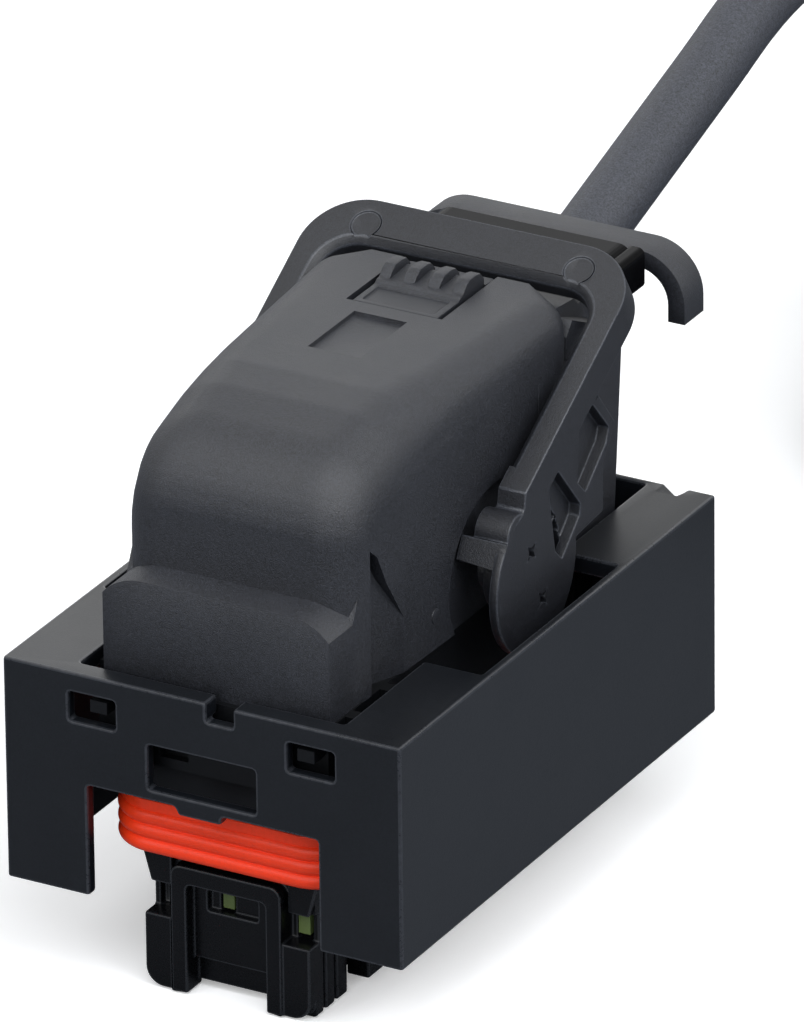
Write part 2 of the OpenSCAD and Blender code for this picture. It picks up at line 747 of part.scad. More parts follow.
// The lever's face, as a frame that is open towards the pivot
module lever_face() {
    outer = bridge_reach + bridge_b;
    outer_r = 6.6;
    inner_r = 3.8;
    difference() {
        union() {
            translate([-lever_hw, 4.8]) square([lever_w, outer - outer_r - 4.8]);
            translate([-lever_hw + outer_r, 4.8]) square([lever_w - 2 * outer_r, outer - 4.8]);
            for (x = [-1, 1]) translate([x * (lever_hw - outer_r), outer - outer_r]) circle(outer_r);
        }
        translate([-arm_in, 4]) square([2 * arm_in, bridge_reach - inner_r - 4]);
        translate([-arm_in + inner_r, 4]) square([2 * (arm_in - inner_r), bridge_reach - 4]);
        for (x = [-1, 1]) translate([x * (arm_in - inner_r), bridge_reach - inner_r]) circle(inner_r);
    }
}

// Side web of one arm, in the lever's own frame
module lever_web() {
    polygon([[3.3, face_h], [2.1, 8.2], [0.8, 8.2], [0, 4], [7.3, -3.6], [12.6, -6.2], [15.4, -1.8],
             [16.7, -1.3], [19.4, 0], [18.7, 5.6], [18.7, face_h]]);
}

// Pocket in an arm's outer face
module arm_pocket(outline) {
    along_x(lever_hw - 1.3, lever_hw + 1) polygon(outline);
}

module four_point_star(tip, waist) {
    polygon([for (i = [0 : 7]) (i % 2 == 0 ? tip : waist) * [cos(i * 45 + 10), sin(i * 45 + 10)]]);
}

module lever_arm() {
    difference() {
        union() {
            along_x(arm_in, lever_hw) difference() {
                lever_web();
                circle(cam_r - 1.2);
            }
            // Thin disc on the outside, and the hub that turns on the stub
            along_x(lever_hw - 1, lever_hw) circle(cam_r);
            along_x(hub_in, lever_hw - e) circle(pivot_r + 1.8);
            along_x(hub_in, lever_hw - e) translate([-0.1, 7]) circle(2.2);
            // Ledge in front of the hub
            along_x(ledge_in, lever_hw - e)
                polygon([[-2.1, 8.2], [-1.3, 6.9], [-3.6, 5.5], [-4.4, 6.8]]);
            // Cam plate
            along_x(arm_in, lever_hw - e) intersection() {
                circle(cam_r - 0.5);
                polygon([[0, -2], [12, -2], [12, -12], [-6, -12], [-3, -4]]);
            }
            // Rib from the hub to the web
            along_x(arm_in + 0.4, lever_hw - e) polygon([[0.5, -1.2], [9, -1.2], [9, 0], [0.5, 0]]);
        }
        // Cam groove for a post on the mating header
        translate([arm_in - e, 0, 0]) rotate([0, 90, 0]) rotate([0, 0, 10])
            rotate_extrude(angle = 80) translate([4.8, 0]) square([2.2, 2]);
        along_x(hub_in - 2, stub_end + 0.1) circle(pivot_r + pivot_gap);
        arm_pocket([[15.6, 7.9], [16.9, 7.9], [18.2, 0.6], [16.9, -0.4], [11.4, -1.2], [10.8, 1.2]]);
        arm_pocket([[7.4, 7.9], [8.5, 7.7], [9.9, -1.4], [9.1, -2.3], [4.3, -3.1], [3.9, -1.2]]);
        // Two small core holes
        for (p = [[0.6, 3.1], [-0.6, -3.2]])
            along_x(lever_hw - 0.9, lever_hw + 1) translate(p) four_point_star(1.15, 0.45);
    }
}

// Chamfer along the inner edge of the lever's frame
module lever_inner_chamfer(c) {
    inner_r = 3.8;
    section = [[-e, face_h - c], [c + e, face_h + e], [-e, face_h + e]];
    straight_x = arm_in - inner_r;
    straight_y = bridge_reach - inner_r;
    along_x(-straight_x, straight_x) translate([bridge_reach, 0]) polygon(section);
    pair() {
        along_y(6, straight_y) translate([arm_in, 0]) polygon(section);
        translate([straight_x, straight_y, 0]) rotate_extrude(angle = 90)
            translate([inner_r, 0]) polygon(section);
    }
}

module lever() {
    color("#303338") place() at_lever() difference() {
        union() {
            translate([0, 0, face_h - face_t]) linear_extrude(face_t) lever_face();
            pair() lever_arm();
        }
        // Thinner middle of the bridge, over the latch
        block([-arm_in + 1.5, bridge_reach - 1, face_h - face_t - 1],
              [arm_in - 1.5, bridge_reach + bridge_b + 1, face_h - bridge_t]);
        lever_inner_chamfer(0.8);
        // Round tool marks
        pair() translate([12.2, bridge_reach + 2, face_h - 0.12]) cylinder(r = 1.6, h = 1);
    }
}

module cable_grommet() {
    color("#1c1d1f") place() at_exit() {
        translate([0, 0, -5.5]) cylinder(d = cable_d + 3.4, h = 4.6);
        translate([0, 0, -1]) cylinder(d1 = cable_d + 3.4, d2 = cable_d + 1.4, h = 1);
    }
}

module cable_tie() {
    gap = seat_gap;
    top = tongue_top + gap;
    hw = tongue_w / 2 + gap;
    color("#0c0c0d") place() {
        difference() {
            tie_loop(tie_t, top, hw);
            tie_loop(0, top, hw);
        }
        // Head, with the band's end through it
        along_y(tie_front - 0.4, tie_front + tie_b + 0.4)
            translate([hw + 0.2, top - 3.4]) offset(0.7) offset(-0.7) square([2, 4.4]);
    }
}

// Band round the tongue and the cable, or the space inside it
module tie_loop(t, top, hw) {
    over = t == 0 ? 0.5 : 0;
    hull() {
        along_y(tie_front - over, tie_front + tie_b + over) {
            for (x = [-1, 1]) translate([x * (hw - 0.6), top - 0.6]) circle(0.6 + t, $fn = hull_fn);
            for (x = [-1, 1]) translate([x * (hw - 0.6), top - tongue_t]) circle(0.6 + t, $fn = hull_fn);
        }
        // Under the cable, the band follows its slope
        for (y = [tie_front - over, tie_front + tie_b + over - 0.1])
            translate([0, y, exit_z + (y - exit_y) * tan(cable_rise)]) rotate([-90, 0, 0])
                cylinder(r = cable_d / 2 + 0.35 + t, h = 0.1, $fn = hull_fn);
    }
}

module cable() {
    color("#4a4e54") place() swept_tube(route, cable_d / 2);
}

module cable_coil() {
    color("#4a4e54") place() translate([coil_c[0], coil_c[1], cable_d])
        rotate_extrude($fn = 96) translate([coil_r, 0]) round_rect(2 * cable_d, 2 * cable_d, cable_d / 2);
}

module cable_tail() {
    color("#4a4e54") place() swept_tube(tail_route, cable_d / 2);
}

module end_plug() {
    hw = plug_w / 2;
    color("#24272b") place() translate(plug_at) difference() {
        union() {
            block([-hw, boot_l, 0], [hw, boot_l + plug_l, plug_h]);
            block([-2.5, boot_l + 3, plug_h - e], [2.5, boot_l + plug_l - 3, plug_h + 1.5]);
        }
        block([-hw + 1.4, boot_l + plug_l - 7, 1.4], [hw - 1.4, boot_l + plug_l + e, plug_h - 1.4]);
    }
}

module end_plug_seal() {
    hw = plug_w / 2 - 2;
    color("#e23a1f") place() translate(plug_at)
        block([-hw, boot_l + plug_l - 7, 2], [hw, boot_l + plug_l - 5, plug_h - 2]);
}

module end_plug_boot() {
    color("#1c1d1f") place() translate(plug_at + [0, boot_l, plug_h / 2])
        rotate([90, 0, 0]) cylinder(d1 = plug_h - 1, d2 = cable_d + 1.6, h = boot_l);
}

outer_shroud();
plug_housing();
interface_seal();
front_retainer();
terminal_lock();
wire_seal();
seal_cover();
signal_contacts();
power_contacts();
signal_wires();
power_wires();
wire_bundle();
wire_cover();
lock_latch();
lever();
cable_grommet();
cable_tie();
cable();
cable_coil();
cable_tail();
end_plug();
end_plug_seal();
end_plug_boot();
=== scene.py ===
"""Looks for a sealed lever connector: moulded plastics, silicone seal, cable tie and jacketed lead."""

import json
import math

import bmesh
import bpy
from mathutils import Matrix, Vector
from mathutils.bvhtree import BVHTree
from mathutils.interpolate import poly_3d_calc


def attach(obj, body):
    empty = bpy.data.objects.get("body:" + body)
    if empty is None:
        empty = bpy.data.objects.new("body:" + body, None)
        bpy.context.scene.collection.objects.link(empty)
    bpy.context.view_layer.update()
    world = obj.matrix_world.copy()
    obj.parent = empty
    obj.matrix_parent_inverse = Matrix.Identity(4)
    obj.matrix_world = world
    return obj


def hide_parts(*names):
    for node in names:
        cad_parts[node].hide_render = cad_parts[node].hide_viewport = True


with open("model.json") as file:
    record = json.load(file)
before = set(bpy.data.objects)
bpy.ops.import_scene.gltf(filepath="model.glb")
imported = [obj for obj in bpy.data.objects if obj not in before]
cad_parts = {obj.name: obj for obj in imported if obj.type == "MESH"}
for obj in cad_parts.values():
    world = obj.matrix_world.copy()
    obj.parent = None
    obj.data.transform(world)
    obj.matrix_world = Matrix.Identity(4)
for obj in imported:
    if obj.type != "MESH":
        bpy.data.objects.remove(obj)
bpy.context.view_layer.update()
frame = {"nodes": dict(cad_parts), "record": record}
MM = 0.001
NODES = frame["nodes"]
BODY_OF = {n: b for b, names in frame["record"]["behaviour"]["bodies"].items() for n in names}
SLOT_OF = {row["node"]: row["material_slot"] for row in frame["record"]["subparts"]}

# The middle of the connector's length, measured from the shroud's front face
MID_Y = 37.85


def at(x, y, z):
    """A point given from the shroud's front face and the feet, in millimetres."""
    return Vector((x, y - MID_Y, z)) * MM


def new_object(name, data):
    made = bpy.data.objects.new(name, data)
    bpy.context.scene.collection.objects.link(made)
    return made


def looking_at(aim, azimuth, elevation, distance, roll=0.0):
    """Where a camera or lamp stands that looks at a point; its azimuth is counted from the front."""
    turn = (
        Matrix.Rotation(math.radians(azimuth), 4, "Z")
        @ Matrix.Rotation(math.radians(90 - elevation), 4, "X")
        @ Matrix.Rotation(math.radians(roll), 4, "Z")
    )
    back = (turn @ Vector((0, 0, 1, 0))).xyz
    return Matrix.Translation(aim + back * distance) @ turn


# ---------------------------------------------------------------- camera

VIEW_AZIMUTH, VIEW_ELEVATION, VIEW_ROLL = 29.235, 25.242, -0.655
VIEW_DISTANCE = 1.4517
VIEW_LENS = 520.0
VIEW_SENSOR = 36
VIEW_AIM = Vector((0.01367, -0.02111, 0.05202))


def make_camera():
    data = bpy.data.cameras.new("view")
    data.sensor_width = VIEW_SENSOR
    data.lens = VIEW_LENS
    data.clip_start = 0.05
    data.clip_end = 20
    camera = new_object("view", data)
    camera.matrix_world = looking_at(VIEW_AIM, VIEW_AZIMUTH, VIEW_ELEVATION, VIEW_DISTANCE, VIEW_ROLL)
    bpy.context.scene.camera = camera


make_camera()

# ---------------------------------------------------------------- materials

SKIN_SOCKETS = (
    ("Colour", "NodeSocketColor"),
    ("Fleck", "NodeSocketFloat"),
    ("Grain", "NodeSocketFloat"),
    ("Rough", "NodeSocketFloat"),
    ("Smudge", "NodeSocketFloat"),
)
# Share of the fine grain in the grain's height, and size of the coarse grain against it
FINE_SHARE = 0.8
COARSE_SIZE = 0.35
MARKS_SCALE = 90
# How strongly flecks and handling marks change the colour and the roughness
FLECK_TINT, SMUDGE_TINT, DARKEST = 4, 1.5, 0.2
FLECK_ROUGH, SMUDGE_ROUGH = 0.25, 0.5


def join(tree, pairs):
    for start, end in pairs:
        tree.links.new(start, end)


def math_node(tree, operation, a, b):
    """A maths node; a and b are sockets or numbers."""
    node = tree.nodes.new("ShaderNodeMath")
    node.operation = operation
    for slot, value in zip(node.inputs, (a, b)):
        if isinstance(value, (int, float)):
            slot.default_value = value
        else:
            tree.links.new(value, slot)
    return node.outputs[0]


def times(tree, a, b):
    return math_node(tree, "MULTIPLY", a, b)


def plus(tree, a, b):
    return math_node(tree, "ADD", a, b)


def noise(tree, vector, scale, detail, roughness=0.5):
    node = tree.nodes.new("ShaderNodeTexNoise")
    node.inputs["Detail"].default_value = detail
    node.inputs["Roughness"].default_value = roughness
    tree.links.new(vector, node.inputs["Vector"])
    if isinstance(scale, (int, float)):
        node.inputs["Scale"].default_value = scale
    else:
        tree.links.new(scale, node.inputs["Scale"])
    return node.outputs["Fac"]


def make_skin_group():
    """Grain, flecks and faint handling marks of a moulded or extruded surface."""
    group = bpy.data.node_groups.new("moulded_skin", "ShaderNodeTree")
    for name, kind in SKIN_SOCKETS:
        group.interface.new_socket(name, in_out="INPUT", socket_type=kind)
    group.interface.new_socket("Colour", in_out="OUTPUT", socket_type="NodeSocketColor")
    group.interface.new_socket("Rough", in_out="OUTPUT", socket_type="NodeSocketFloat")
    group.interface.new_socket("Height", in_out="OUTPUT", socket_type="NodeSocketFloat")
    given = group.nodes.new("NodeGroupInput").outputs
    made = group.nodes.new("NodeGroupOutput").inputs
    place = group.nodes.new("ShaderNodeTexCoord").outputs["Object"]
    fine = noise(group, place, given["Grain"], 4, 0.65)
    coarse = noise(group, place, times(group, given["Grain"], COARSE_SIZE), 3)
    marks = noise(group, place, MARKS_SCALE, 4, 0.6)
    speck = plus(group, times(group, fine, FINE_SHARE), times(group, coarse, 1 - FINE_SHARE))
    swing = math_node(group, "SUBTRACT", speck, 0.5)
    haze = times(group, math_node(group, "SUBTRACT", marks, 0.5), given["Smudge"])
    flecks = times(group, times(group, swing, given["Fleck"]), FLECK_TINT)
    gain = plus(group, flecks, times(group, haze, SMUDGE_TINT))
    gain = math_node(group, "MAXIMUM", plus(group, gain, 1), DARKEST)
    tint = group.nodes.new("ShaderNodeVectorMath")
    tint.operation = "SCALE"
    rough = plus(group, given["Rough"], times(group, swing, FLECK_ROUGH))
    rough = plus(group, rough, times(group, haze, SMUDGE_ROUGH))
    join(
        group,
        [
            (given["Colour"], tint.inputs[0]),
            (gain, tint.inputs["Scale"]),
            (tint.outputs[0], made["Colour"]),
            (rough, made["Rough"]),
            (speck, made["Height"]),
        ],
    )
    return group


SKIN = make_skin_group()


def finish_of(name, colour, rough, fleck=0.2, grain=4500, smudge=0.3, bump=0.02, gloss=0.35, metal=0.0):
    """A material whose skin varies; gloss and metal sit on the shader's own sockets."""
    material = bpy.data.materials.new(name)
    material.use_nodes = True
    tree = material.node_tree
    shader = tree.nodes["Principled BSDF"]
    skin = tree.nodes.new("ShaderNodeGroup")
    skin.node_tree = SKIN
    skin.inputs["Colour"].default_value = (*colour, 1)
    skin.inputs["Fleck"].default_value = fleck
    skin.inputs["Grain"].default_value = grain
    skin.inputs["Rough"].default_value = rough
    skin.inputs["Smudge"].default_value = smudge
    bumps = tree.nodes.new("ShaderNodeBump")
    bumps.inputs["Strength"].default_value = 1.0
    bumps.inputs["Distance"].default_value = bump * MM
    join(
        tree,
        [
            (skin.outputs["Colour"], shader.inputs["Base Color"]),
            (skin.outputs["Rough"], shader.inputs["Roughness"]),
            (skin.outputs["Height"], bumps.inputs["Height"]),
            (bumps.outputs["Normal"], shader.inputs["Normal"]),
        ],
    )
    shader.inputs["Metallic"].default_value = metal
    shader.inputs["Specular IOR Level"].default_value = gloss
    return material


FINISH_VALUES = {
    "shroud_plastic": dict(
        colour=(0.0042, 0.0052, 0.0072), rough=0.34, fleck=0.5, grain=5000, bump=0.012, gloss=0.37
    ),
    "housing_plastic": dict(colour=(0.0026, 0.0030, 0.0038), rough=0.42, fleck=0.3, bump=0.010, gloss=0.2),
    "retainer_plastic": dict(colour=(0.0020, 0.0022, 0.0028), rough=0.28, fleck=0.2, bump=0.006, gloss=0.2),
    "cover_plastic": dict(
        colour=(0.0150, 0.0163, 0.0208), rough=0.47, fleck=1.5, grain=7000, smudge=0.4, bump=0.08, gloss=0.5
    ),
    "lever_plastic": dict(
        colour=(0.0110, 0.0120, 0.0155), rough=0.44, fleck=1.1, grain=7000, bump=0.05, gloss=0.5
    ),
    "seal_rubber": dict(
        colour=(0.96, 0.050, 0.010), rough=0.40, fleck=0.08, grain=2500, smudge=0.1, bump=0.01, gloss=0.3
    ),
    "mat_rubber": dict(colour=(0.5, 0.045, 0.015), rough=0.5, fleck=0.05, bump=0.01),
    "lock_plastic": dict(colour=(0.105, 0.145, 0.045), rough=0.45, fleck=0.15, bump=0.01),
    "contact_metal": dict(colour=(0.72, 0.62, 0.42), rough=0.32, fleck=0.06, bump=0.004, metal=1.0),
    "wire_plastic": dict(colour=(0.02, 0.024, 0.036), rough=0.4, fleck=0.08, bump=0.01),
    "grommet_rubber": dict(colour=(0.008, 0.008, 0.009), rough=0.6, fleck=0.1, bump=0.02),
    "tie_plastic": dict(
        colour=(0.0020, 0.0020, 0.0024), rough=0.22, fleck=0.05, smudge=0.15, bump=0.004, gloss=0.04
    ),
    "cable_jacket": dict(
        colour=(0.037, 0.040, 0.050), rough=0.55, fleck=1.3, grain=5200, smudge=0.3, bump=0.08, gloss=0.5
    ),
}
# Moulded edges are painted a little paler than the faces between them: a painted highlight along the rounded
# edges
EDGE_HIGHLIGHT_VALUES = {
    "shroud": dict(colour=(0.022, 0.024, 0.029), rough=0.3, fleck=0.6, grain=2500, bump=0.012, gloss=0.5),
    "retainer": dict(colour=(0.008, 0.009, 0.011), rough=0.28, fleck=0.4, bump=0.006, gloss=0.5),
    "lever": dict(colour=(0.034, 0.037, 0.045), rough=0.38, fleck=0.9, bump=0.05, gloss=0.5),
}
FINISH = {name: finish_of(name, **values) for name, values in FINISH_VALUES.items()}
EDGE_HIGHLIGHT_FINISH = {part + "_plastic": finish_of(part + "_edge", **values) for part, values in EDGE_HIGHLIGHT_VALUES.items()}


def dress(piece, slot):
    piece.data.materials.clear()
    piece.data.materials.append(FINISH[slot])


# ---------------------------------------------------------------- the lead

CABLE_D = 7.0
COIL_CENTRE = (30, 167)
COIL_R = 35.0
ROUTE = [
    (0, 62.8, 48), (0, 72, 50.8), (0, 83, 54.2), (0, 95, 57.9), (0, 107, 61.6), (0, 118, 65),
    (-0.2, 127, 65.7), (-1, 136, 64.2), (-2.5, 145, 60.8), (-4, 153.5, 56.1), (-5, 161.5, 50.8),
    (-5, 169.5, 45.6), (-3.6, 177, 40.5), (-0.3, 184.5, 35.2), (6, 191, 29.9), (10.9, 194.3, 26.1),
    (16.2, 196.5, 22.5), (21.7, 197.9, 19.4), (30, 198.5, 15.5), (38.2, 197.4, 12.7),
    (45.8, 194.3, 11.1), (52.3, 189.3, 10.5),
]
TAIL = [
    (49.3, 133.7, 10.5), (43.2, 130.8, 10.7), (36.7, 129.1, 11.4), (30, 128.5, 12.4),
    (22.2, 129.5, 13.9), (15, 132.5, 15.4), (8.8, 137.3, 16.9), (4, 143.5, 18.3),
    (1, 150.7, 19.2), (0, 158.5, 19.5),
]
INNER, OUTER = COIL_R - CABLE_D / 2, COIL_R + CABLE_D / 2
LOW, HIGH = CABLE_D / 2, CABLE_D * 1.5
# Where the turns change place: angle, which falls as they run clockwise, radius and height
WINDING = [
    (45, INNER, HIGH), (-190, INNER, HIGH), (-285, INNER, LOW), (-465, INNER, LOW),
    (-635, OUTER, LOW), (-810, OUTER, LOW), (-900, OUTER, HIGH), (-1140, OUTER, HIGH),
]
TURN_STEP = 15
# Two wraps of tape hold the coil: where each is, half its width in degrees and half its thickness
WRAP_ANGLES = (10, -42)
WRAP_SPREAD = 8
WRAP_TAPE = 0.15
WRAP_STEPS = 8


def eased(t):
    return t * t * (3 - 2 * t)


def on_coil(radius, angle, height):
    turn = math.radians(angle)
    return (COIL_CENTRE[0] + radius * math.cos(turn), COIL_CENTRE[1] + radius * math.sin(turn), height)


def winding_point(angle):
    for (a0, r0, z0), (a1, r1, z1) in zip(WINDING, WINDING[1:]):
        if angle >= a1:
            t = eased((a0 - angle) / (a0 - a1))
            return on_coil(r0 + (r1 - r0) * t, angle, z0 + (z1 - z0) * t)


def lead_points():
    first, last = WINDING[0][0], WINDING[-1][0]
    turns = [winding_point(a) for a in range(first - TURN_STEP, last, -TURN_STEP)]
    return [at(*p) for p in ROUTE + turns + TAIL]


def wrap_rim(mesh, grow, angle):
    """The closed line that one side of a tape follows round the coil's four turns."""
    rim = []
    for radius, height, first in ((OUTER, HIGH, 0), (INNER, HIGH, 90), (INNER, LOW, 180), (OUTER, LOW, 270)):
        for step in range(0, 91, 10):
            turn = math.radians(first + step)
            out = CABLE_D / 2 + grow
            place = on_coil(radius + out * math.cos(turn), angle, height + out * math.sin(turn))
            rim.append(mesh.verts.new(at(*place)))
    for a, b in zip(rim, rim[1:] + rim[:1]):
        mesh.edges.new((a, b))


def make_wrap(name, angle):
    """Tape wound round the coil's turns, curved as the turns are."""
    mesh = bmesh.new()
    for grow in (WRAP_TAPE, -WRAP_TAPE):
        wrap_rim(mesh, grow, angle - WRAP_SPREAD)
    bmesh.ops.bridge_loops(mesh, edges=mesh.edges)
    bmesh.ops.spin(
        mesh,
        geom=mesh.verts[:] + mesh.edges[:] + mesh.faces[:],
        cent=at(*COIL_CENTRE, 0),
        axis=(0, 0, 1),
        angle=math.radians(2 * WRAP_SPREAD),
        steps=WRAP_STEPS,
    )
    bmesh.ops.recalc_face_normals(mesh, faces=mesh.faces)
    for face in mesh.faces:
        face.smooth = True
    data = bpy.data.meshes.new(name)
    mesh.to_mesh(data)
    mesh.free()
    wrap = new_object(name, data)
    dress(wrap, "grommet_rubber")
    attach(wrap, BODY_OF["cable"])
    return wrap


def make_lead():
    curve = bpy.data.curves.new("lead", "CURVE")
    curve.dimensions = "3D"
    curve.bevel_depth = CABLE_D / 2 * MM
    curve.bevel_resolution = 8
    curve.resolution_u = 4
    curve.use_fill_caps = True
    points = lead_points()
    spline = curve.splines.new("BEZIER")
    spline.bezier_points.add(len(points) - 1)
    for knot, place in zip(spline.bezier_points, points):
        knot.co = place
        knot.handle_left_type = knot.handle_right_type = "AUTO"
    lead = new_object("lead", curve)
    dress(lead, "cable_jacket")
    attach(lead, BODY_OF["cable"])
    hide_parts("cable", "cable_coil", "cable_tail")
    ends = [NODES[n] for n in ("end_plug", "end_plug_seal", "end_plug_boot")]
    ends += [make_wrap("coil_wrap_%d" % k, angle) for k, angle in enumerate(WRAP_ANGLES)]


make_lead()

# ---------------------------------------------------------------- moulded parts

# Edge radius in millimetres of each part whose edges are rounded
EDGE = {
    "outer_shroud": 0.30,
    "front_retainer": 0.22,
    "terminal_lock": 0.12,
    "wire_cover": 0.22,
    "lock_latch": 0.18,
    "lever": 0.17,
    "interface_seal": 0.10,
}
# Parts whose rounded edges all take the full radius; on the others a narrow face makes it smaller
FULL_RADIUS = ("outer_shroud", "lever", "front_retainer", "lock_latch")
WELD = 0.002 * MM
# Turn between faces that are one flat face, turn at a sharp edge, and least angle between two of those
FLAT, SHARP, NARROW = math.radians(0.08), math.radians(38), math.radians(50)
# Share of the radius past which a corner has been thrown off its part
THROWN_OFF = 0.45


def clean_mesh(node):
    """The part's mesh without its triangulation, with its sharp edges marked."""
    mesh = bmesh.new()
    mesh.from_mesh(NODES[node].data)
    bmesh.ops.remove_doubles(mesh, verts=mesh.verts, dist=WELD)
    bmesh.ops.dissolve_limit(mesh, angle_limit=FLAT, verts=mesh.verts, edges=mesh.edges)
    bmesh.ops.recalc_face_normals(mesh, faces=mesh.faces)
    mark_sharp(mesh)
    return mesh


def mark_sharp(mesh):
    for face in mesh.faces:
        face.smooth = True
    for edge in mesh.edges:
        edge.smooth = edge.calc_face_angle(0) < SHARP


def moulded_piece(node, mesh):
    """A new piece from a mesh, standing in for one part of the model."""
    piece = NODES[node].copy()
    piece.data = NODES[node].data.copy()
    piece.name = piece.data.name = node + "_moulded"
    bpy.context.scene.collection.objects.link(piece)
    dress(piece, SLOT_OF[node])
    # The rounded edges take a paler second material, a painted highlight
    if SLOT_OF[node] in EDGE_HIGHLIGHT_FINISH:
        piece.data.materials.append(EDGE_HIGHLIGHT_FINISH[SLOT_OF[node]])
    mesh.to_mesh(piece.data)
    mesh.free()
    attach(piece, BODY_OF[node])
    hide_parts(node)
    return piece


def has_room(edge):
    """Whether no other sharp edge leaves either end of this one at a narrow angle."""
    for vert in edge.verts:
        along = edge.other_vert(vert).co - vert.co
        for other in vert.link_edges:
            if other is not edge and not other.smooth:
                if along.angle(other.other_vert(vert).co - vert.co, 0) < NARROW:
                    return False
    return True


def round_edges(mesh, node):
    """Rounds the sharp edges, and draws back any corner that the rounding throws off the part."""
    radius = EDGE[node] * MM
    bmesh.ops.triangulate(mesh, faces=mesh.faces)
    mark_sharp(mesh)
    skin = BVHTree.FromBMesh(mesh)
    bmesh.ops.bevel(
        mesh,
        geom=[e for e in mesh.edges if not e.smooth and has_room(e)],
        offset=radius,
        offset_type="OFFSET",
        segments=2,
        profile=0.5,
        affect="EDGES",
        clamp_overlap=node not in FULL_RADIUS,
        miter_outer="ARC",
        # the bevel's faces take the second material, the painted edge highlight
        material=1 if SLOT_OF[node] in EDGE_HIGHLIGHT_FINISH else -1,
    )
    for vert in mesh.verts:
        place, _, _, far = skin.find_nearest(vert.co)
        if far > THROWN_OFF * radius:
            vert.co = place
    mesh.normal_update()
    mark_sharp(mesh)


def softened(node):
    """A copy of a moulded part with its edges rounded as the mould leaves them."""
    mesh = clean_mesh(node)
    round_edges(mesh, node)
    piece = moulded_piece(node, mesh)
    shade = piece.modifiers.new("shade", "WEIGHTED_NORMAL")
    shade.keep_sharp = True


# ---------------------------------------------------------------- the wire cover's round body

# Degrees between the rays that a ball's surface is made of
RAY_STEP = 7.5
# How near to the model's skin a face lies that belongs to the body, and how nearly it faces the same way
TOUCH, SAME_WAY = 0.05, 0.9
# Least agreement between a face and the even skin's normal that it takes
SHADE_WAY = 0.85
# Longest edge left on the body, and the most passes that split longer ones
FINEST, PASSES = 1.2, 5
# The even form is blended in over this height above the foot
FOOT_TOP, FOOT_BLEND = 48.5, 5.0
# Half the nose's width, its front, and the radius and height of the arc that it follows
NOSE_HALF, NOSE_FRONT, ARC_R, ARC_Z = 13.1, 7.3, 9.0, 51.2
NOSE_R_MODEL, NOSE_DRAFT_MODEL = 3.4, 0.02
NOSE_R_EVEN, NOSE_GROWTH = 4.6, 0.0267
POST_R_MODEL, POST_R_EVEN = 3.4, 4.2
POST_Z = 34
ROOF_Z = 61.6
# Where the roof starts to widen towards the rear, and by how much a millimetre
WIDEN_FROM, WIDEN = 16, 0.03
REAR_BALL = (10.7, 48.3, 58.0, 3.6)
REAR_EDGE, REAR_EDGE_HALF = 51.6, 9


def nose_ball(angle, radius, draft=0.0):
    """A ball of the nose: it touches the arc that the nose follows, at an angle up that arc."""
    turn = math.radians(angle)
    reach = ARC_R - radius
    y = NOSE_FRONT + ARC_R - reach * math.cos(turn)
    return (NOSE_HALF - radius - draft * angle, y, ARC_Z + reach * math.sin(turn), radius)


def roof_ball(y, drop, radius):
    """A ball under the roof's long edge, a little below its crown."""
    return (NOSE_HALF + (y - WIDEN_FROM) * WIDEN - radius, y, ROOF_Z - drop - radius, radius)


# Balls (x, y, z, radius) that the model's body is drawn round, and those of its even form
MODEL_BALLS = [nose_ball(a, NOSE_R_MODEL, NOSE_DRAFT_MODEL) for a in (0, 25, 50, 75)]
MODEL_BALLS += [(8.8, 27, 57, 4.5), REAR_BALL]
EVEN_BALLS = [nose_ball(a, NOSE_R_EVEN + a * NOSE_GROWTH) for a in range(0, 76, 5)]
EVEN_BALLS += [roof_ball(19, 0.55, 6.2), roof_ball(23, 0.2, 5.6), roof_ball(27.5, 0.05, 5), REAR_BALL]


def ray(across, up):
    """The direction at two angles in degrees: round from the side, and up from level."""
    a, h = math.radians(across), math.radians(up)
    return Vector((math.cos(a) * math.cos(h), math.sin(a) * math.cos(h), math.sin(h)))


class Skin:
    """The convex skin round balls of the cover's body, in millimetres, with the balls' own normals."""

    def __init__(self, balls, post_r):
        mesh = bmesh.new()
        way = mesh.verts.layers.float_vector.new("way")
        across = [k * RAY_STEP for k in range(-12, 13)]
        upper = [ray(a, h) for a in across for h in across[10:]]
        level = [ray(a, 0) for a in across]
        posts = [(NOSE_HALF - post_r, NOSE_FRONT + post_r, POST_Z, post_r)]
        posts += [(*REAR_BALL[:2], POST_Z, REAR_BALL[3])]
        for (x, y, z, radius), rays in [(b, upper) for b in balls] + [(p, level) for p in posts]:
            for out in rays:
                for side in (-1, 1):
                    turned = Vector((side * out.x, out.y, out.z))
                    vert = mesh.verts.new(at(side * x, y, z) / MM + turned * radius)
                    vert[way] = turned
        for side in (-1, 1):
            mesh.verts.new(at(side * REAR_EDGE_HALF, REAR_EDGE, ROOF_Z) / MM)
        bmesh.ops.convex_hull(mesh, input=mesh.verts)
        bmesh.ops.delete(mesh, geom=[v for v in mesh.verts if not v.link_faces], context="VERTS")
        bmesh.ops.recalc_face_normals(mesh, faces=mesh.faces)
        mesh.faces.ensure_lookup_table()
        self.faces = [([v.co.copy() for v in f.verts], [v[way].copy() for v in f.verts]) for f in mesh.faces]
        self.tree = BVHTree.FromBMesh(mesh)
        mesh.free()

    def nearest(self, point):
        """The skin's nearest place to a point, its normal there and how far off it is."""
        place, flat, index, far = self.tree.find_nearest(point / MM)
        corners, ways = self.faces[index]
        turn = Vector((0, 0, 0))
        for weight, way in zip(poly_3d_calc(corners, place), ways):
            turn += way * weight
        if any(way.length == 0 for way in ways):
            turn = flat
        return place * MM, turn.normalized(), far


def body_faces(mesh, skin):
    """The faces that lie on a skin and face the way it does."""
    found = []
    for face in mesh.faces:
        _, turn, far = skin.nearest(face.calc_center_median())
        if far < TOUCH and turn.dot(face.normal) > SAME_WAY:
            found.append(face)
    return found


